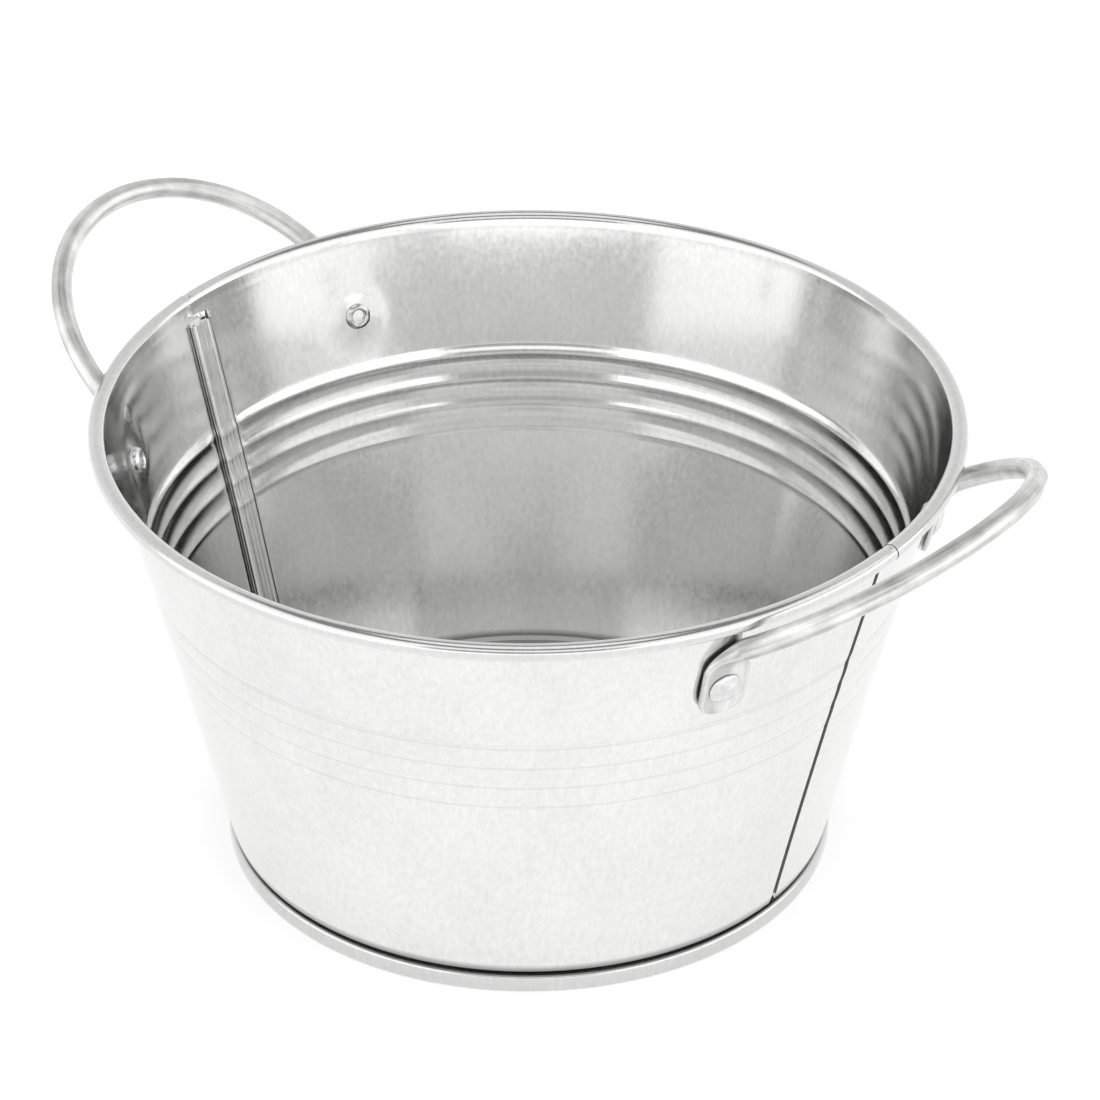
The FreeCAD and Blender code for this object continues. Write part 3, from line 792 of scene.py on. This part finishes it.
def bezier(points, share):
    """A point on a cubic curve."""
    rest = 1 - share
    weights = (rest ** 3, 3 * rest ** 2 * share, 3 * rest * share ** 2, share ** 3)
    return sum((point * weight for point, weight in zip(points, weights)), Vector())


def handle_end(loop, end):
    """The rod's centre line from one tab's lower end to the start of the loop:
    a list of (point, half width, half thickness, squareness)."""
    reach, height, tilt, radius, shift = loop
    outward = Vector((math.cos(math.radians(tilt)), 0, math.sin(math.radians(tilt))))
    seat = end * RIVET_HALF_ANGLE
    _, upward, away = seat_axes(seat)
    stations = []
    flat = (TAB_THICKNESS - TAB_BACK_RELIEF) / 2
    lift = SEAT_GAP + TAB_THICKNESS - flat
    corner_steps = 7
    for step in range(corner_steps + 1):
        angle = math.pi / 2 * step / corner_steps
        width = TAB_HALF_WIDTH - TAB_CORNER + TAB_CORNER * math.sin(angle)
        up = -TAB_DROP + TAB_CORNER * (1 - math.cos(angle))
        stations.append((seat_point(seat, 0, up, lift), width, flat, SQUARE))
    for up in (-2.0, -0.5, 1.0, 2.5, 3.6):
        stations.append((seat_point(seat, 0, up, lift), TAB_HALF_WIDTH, flat, SQUARE))
    bend_start = seat_point(seat, 0, 4.4, lift)
    root = Vector((reach, end * radius + shift, height))
    curve = (bend_start, bend_start + upward * 2.6 + away * 0.3, root - outward * 4.2, root - outward * LEG)
    steps = 14
    for step in range(steps + 1):
        share = step / steps
        pressed = 1 - ramp(0.05, 0.95, share)
        width = ROD + (TAB_HALF_WIDTH - ROD) * pressed ** 1.3
        thickness = ROD + (flat - ROD) * pressed ** 0.8
        squareness = ROUND + (SQUARE - ROUND) * pressed
        stations.append((bezier(curve, share), width, thickness, squareness))
    return stations


def handle_path(loop):
    """The whole rod, from the lower end of one tab round the loop to the lower end of the other."""
    reach, height, tilt, radius, shift = loop
    outward = Vector((math.cos(math.radians(tilt)), 0, math.sin(math.radians(tilt))))
    centre = Vector((reach, shift, height))
    stations = handle_end(loop, 1)
    loop_steps = 88
    for step in range(loop_steps + 1):
        angle = math.pi * step / loop_steps
        spot = centre + Vector((0, radius * math.cos(angle), 0)) + outward * (radius * math.sin(angle))
        stations.append((spot, ROD, ROD, ROUND))
    return stations + handle_end(loop, -1)[::-1]


def section_ring(half_width, half_thickness, squareness, count):
    """Points round a superellipse."""
    ring = []
    for index in range(count):
        angle = 2 * math.pi * index / count
        reach = []
        for value, half in ((math.cos(angle), half_width), (math.sin(angle), half_thickness)):
            reach.append(half * math.copysign(abs(value) ** (2 / squareness), value))
        ring.append(reach)
    return ring


def make_handle(node, loop, turn):
    """One bent rod with flattened ends, swept from tab to tab."""
    stations = handle_path(loop)
    ring_count = 28
    made = bmesh.new()
    uv_layer = made.loops.layers.uv.new("length")
    rows = []
    lengths = []
    travelled = 0.0
    across, _, _ = seat_axes(RIVET_HALF_ANGLE)
    last_across, _, _ = seat_axes(-RIVET_HALF_ANGLE)
    for index, (spot, half_width, half_thickness, squareness) in enumerate(stations):
        before = stations[max(index - 1, 0)][0]
        after = stations[min(index + 1, len(stations) - 1)][0]
        along = (after - before).normalized()
        travelled += (spot - before).length
        lengths.append(travelled)
        across = (across - along * across.dot(along)).normalized()
        if half_width > ROD + 0.01 and index > len(stations) / 2:
            across = -(last_across - along * last_across.dot(along)).normalized()
        away = across.cross(along)
        row = []
        for reach_across, reach_away in section_ring(half_width, half_thickness, squareness, ring_count):
            place = spot + across * reach_across + away * reach_away
            dent = noise.noise(place / 9 + Vector((turn, 0, 0))) * 0.035
            row.append(made.verts.new(place + (place - spot).normalized() * dent))
        rows.append(row)
    grid_faces(made, rows, closed=True)
    order = {}
    for row_index, row in enumerate(rows):
        for column_index, vertex in enumerate(row):
            order[vertex] = (row_index, column_index)
    for face in made.faces:
        columns = [order[loop_corner.vert][1] for loop_corner in face.loops]
        wraps = max(columns) - min(columns) > 1
        for loop_corner in face.loops:
            row_index, column_index = order[loop_corner.vert]
            around = column_index + (ring_count if wraps and column_index == 0 else 0)
            girth = around / ring_count * 2 * math.pi * ROD
            loop_corner[uv_layer].uv = (girth * MM, lengths[row_index] * MM)
    made.faces.new(reversed(rows[0]))
    made.faces.new(rows[-1])
    bmesh.ops.recalc_face_normals(made, faces=made.faces)
    made.transform(Matrix.Rotation(math.radians(turn), 4, "Z"))
    piece = new_piece(node + "_rod", made, node)
    smooth(piece, 50)
    piece.data.materials.append(ROD_METAL)
    return piece


# --- rivets ---------------------------------------------------------------------------------------

def rivet_profile():
    """The rivet in section as (radius, height along its axis), from the crown round to the bore's end."""
    head_face = TAB_THICKNESS + 2 * SEAT_GAP
    tail_face = -SHEET - SEAT_GAP
    crown = arc((0, head_face + 1.5 - 5.9), 5.9, 88, 54, 10)
    dimple = ((0.05, 1.08), (0.5, 1.12), (0.95, 1.30))
    path = [Vector((across, head_face + rise)) for across, rise in dimple]
    path += [point for point in crown if point.x > 1.3]
    head_edge = [
        (path[-1].x, path[-1].y, 0),
        (3.6, head_face + 0.3, 0.25),
        (3.55, head_face, 0.12),
        (2.1, head_face, 0),
    ]
    path += rounded(head_edge, 4)[1:]
    shank_and_tail = [
        (2.1, head_face - 0.1, 0),
        (2.1, tail_face, 0),
        (2.85, tail_face, 0.1),
        (2.85, tail_face - 0.55, 0.5),
        (1.95, tail_face - 1.25, 0.35),
        (1.5, tail_face - 0.8, 0.3),
        (1.5, tail_face + 1.0, 0.3),
        (0.05, tail_face + 1.3, 0),
    ]
    path += rounded(shank_and_tail, 5)
    return path


def make_rivet(node, angle, seed):
    """A semi-tubular rivet turned about its own axis, with slightly uneven edges."""
    segments = 40
    made = bmesh.new()
    rows = []
    for point in subdivided(rivet_profile(), 0.6):
        row = []
        for index in range(segments):
            turn = 2 * math.pi * index / segments
            spot = Vector((point.x * math.cos(turn), point.x * math.sin(turn), point.y))
            spot += spot.normalized() * noise.noise(spot / 1.6 + Vector((seed, 0, 0))) * 0.09
            row.append(made.verts.new(spot))
        rows.append(row)
    grid_faces(made, rows, closed=True)
    made.faces.new(reversed(rows[0]))
    made.faces.new(rows[-1])
    bmesh.ops.recalc_face_normals(made, faces=made.faces)
    sideways, upward, outward = seat_axes(angle)
    place = Matrix((sideways, upward, outward)).transposed().to_4x4()
    place.translation = seat_point(angle)
    made.transform(place)
    piece = new_piece(node + "_metal", made, node)
    smooth(piece, 60)
    piece.data.materials.append(RIVET_METAL)
    return piece


# --- stage ----------------------------------------------------------------------------------------

def make_floor():
    made = bmesh.new()
    bmesh.ops.create_grid(made, x_segments=1, y_segments=1, size=4)
    mesh = bpy.data.meshes.new("floor")
    made.to_mesh(mesh)
    made.free()
    floor = bpy.data.objects.new("floor", mesh)
    bpy.context.collection.objects.link(floor)
    material, _, shader = new_material("floor_paint")
    shader.inputs["Base Color"].default_value = (0.9, 0.9, 0.9, 1)
    shader.inputs["Roughness"].default_value = 0.8
    shader.inputs["Emission Color"].default_value = (1, 1, 1, 1)
    shader.inputs["Emission Strength"].default_value = FLOOR_GLOW
    mesh.materials.append(material)


def towards(tree, direction, side):
    """The cosine of the angle, seen from above, between a direction and a side of the studio."""
    across, deep, up = direction
    turn = math.radians(side)
    level = calculated(tree, "SUBTRACT", 1.0001, calculated(tree, "MULTIPLY", up, up))
    along_x = calculated(tree, "MULTIPLY", across, math.cos(turn))
    along_y = calculated(tree, "MULTIPLY", deep, math.sin(turn))
    facing = calculated(tree, "ADD", along_x, along_y)
    return calculated(tree, "DIVIDE", facing, calculated(tree, "SQRT", level))


def make_studio():
    """A white studio by direction: bright on the front side, greyer behind, with a soft box overhead."""
    world = bpy.data.worlds.new("studio")
    bpy.context.scene.world = world
    world.use_nodes = True
    tree = world.node_tree
    background = tree.nodes["Background"]
    place = tree.nodes.new("ShaderNodeTexCoord")
    split = tree.nodes.new("ShaderNodeSeparateXYZ")
    tree.links.new(place.outputs["Generated"], split.inputs["Vector"])
    direction = tuple(split.outputs)
    up = direction[2]

    # The walls: the bright side blends into the greyer one over a narrow edge.
    side = towards(tree, direction, BRIGHT_SIDE)
    front = graded(tree, side, BRIGHT_EDGE - 0.05, BRIGHT_EDGE + 0.05, 0.0, 1.0)
    back = calculated(tree, "SUBTRACT", 1.0, front)
    front_light = graded(tree, up, FRONT_RISE[0], FRONT_RISE[1], FRONT_LOW, FRONT_HIGH)
    back_light = graded(tree, up, BACK_RISE[0], BACK_RISE[1], BACK_LOW, BACK_HIGH)
    front_part = calculated(tree, "MULTIPLY", front, front_light)
    back_part = calculated(tree, "MULTIPLY", back, back_light)
    wall = calculated(tree, "ADD", front_part, back_part)

    # The darker gap on the camera's side.
    gap_edge = math.cos(math.radians(GAP_HALF_WIDTH))
    gap_side = towards(tree, direction, GAP_SIDE)
    gap_width = graded(tree, gap_side, gap_edge - 0.02, gap_edge + 0.02, 0.0, 1.0)
    gap_foot = graded(tree, up, GAP_FOOT_RISE[0], GAP_FOOT_RISE[1], 0.0, 1.0)
    gap_head = graded(tree, up, GAP_HEAD_RISE[0], GAP_HEAD_RISE[1], 1.0, 0.0)
    gap_span = calculated(tree, "MULTIPLY", gap_foot, gap_head)
    gap = calculated(tree, "MULTIPLY", gap_width, gap_span)
    lost = calculated(tree, "MULTIPLY", gap, 1.0 - GAP_LIGHT)
    wall = calculated(tree, "MULTIPLY", wall, calculated(tree, "SUBTRACT", 1.0, lost))

    # The dim ceiling with the soft box in its middle.
    ceiling = graded(tree, up, CEILING_RISE[0], CEILING_RISE[1], 0.0, 1.0)
    overhead = graded(tree, up, OVERHEAD_RISE[0], OVERHEAD_RISE[1], CEILING, OVERHEAD)
    below = calculated(tree, "MULTIPLY", wall, calculated(tree, "SUBTRACT", 1.0, ceiling))
    above = calculated(tree, "MULTIPLY", overhead, ceiling)
    light = calculated(tree, "ADD", below, above)
    tree.links.new(light, background.inputs["Strength"])
    background.inputs["Color"].default_value = (1, 1, 1, 1)
    bpy.context.scene.view_settings.view_transform = "Standard"


make_half_sheet("body_sheet_back", 0)
make_half_sheet("body_sheet_front", 1)
make_base()
make_handle("handle_right", RIGHT_LOOP, 0)
make_handle("handle_left", LEFT_LOOP, 180)
make_rivet("rivet_right_back", RIVET_HALF_ANGLE, 1)
make_rivet("rivet_left_back", 180 - RIVET_HALF_ANGLE, 2)
make_rivet("rivet_left_front", 180 + RIVET_HALF_ANGLE, 3)
make_rivet("rivet_right_front", -RIVET_HALF_ANGLE, 4)
make_floor()
make_studio()
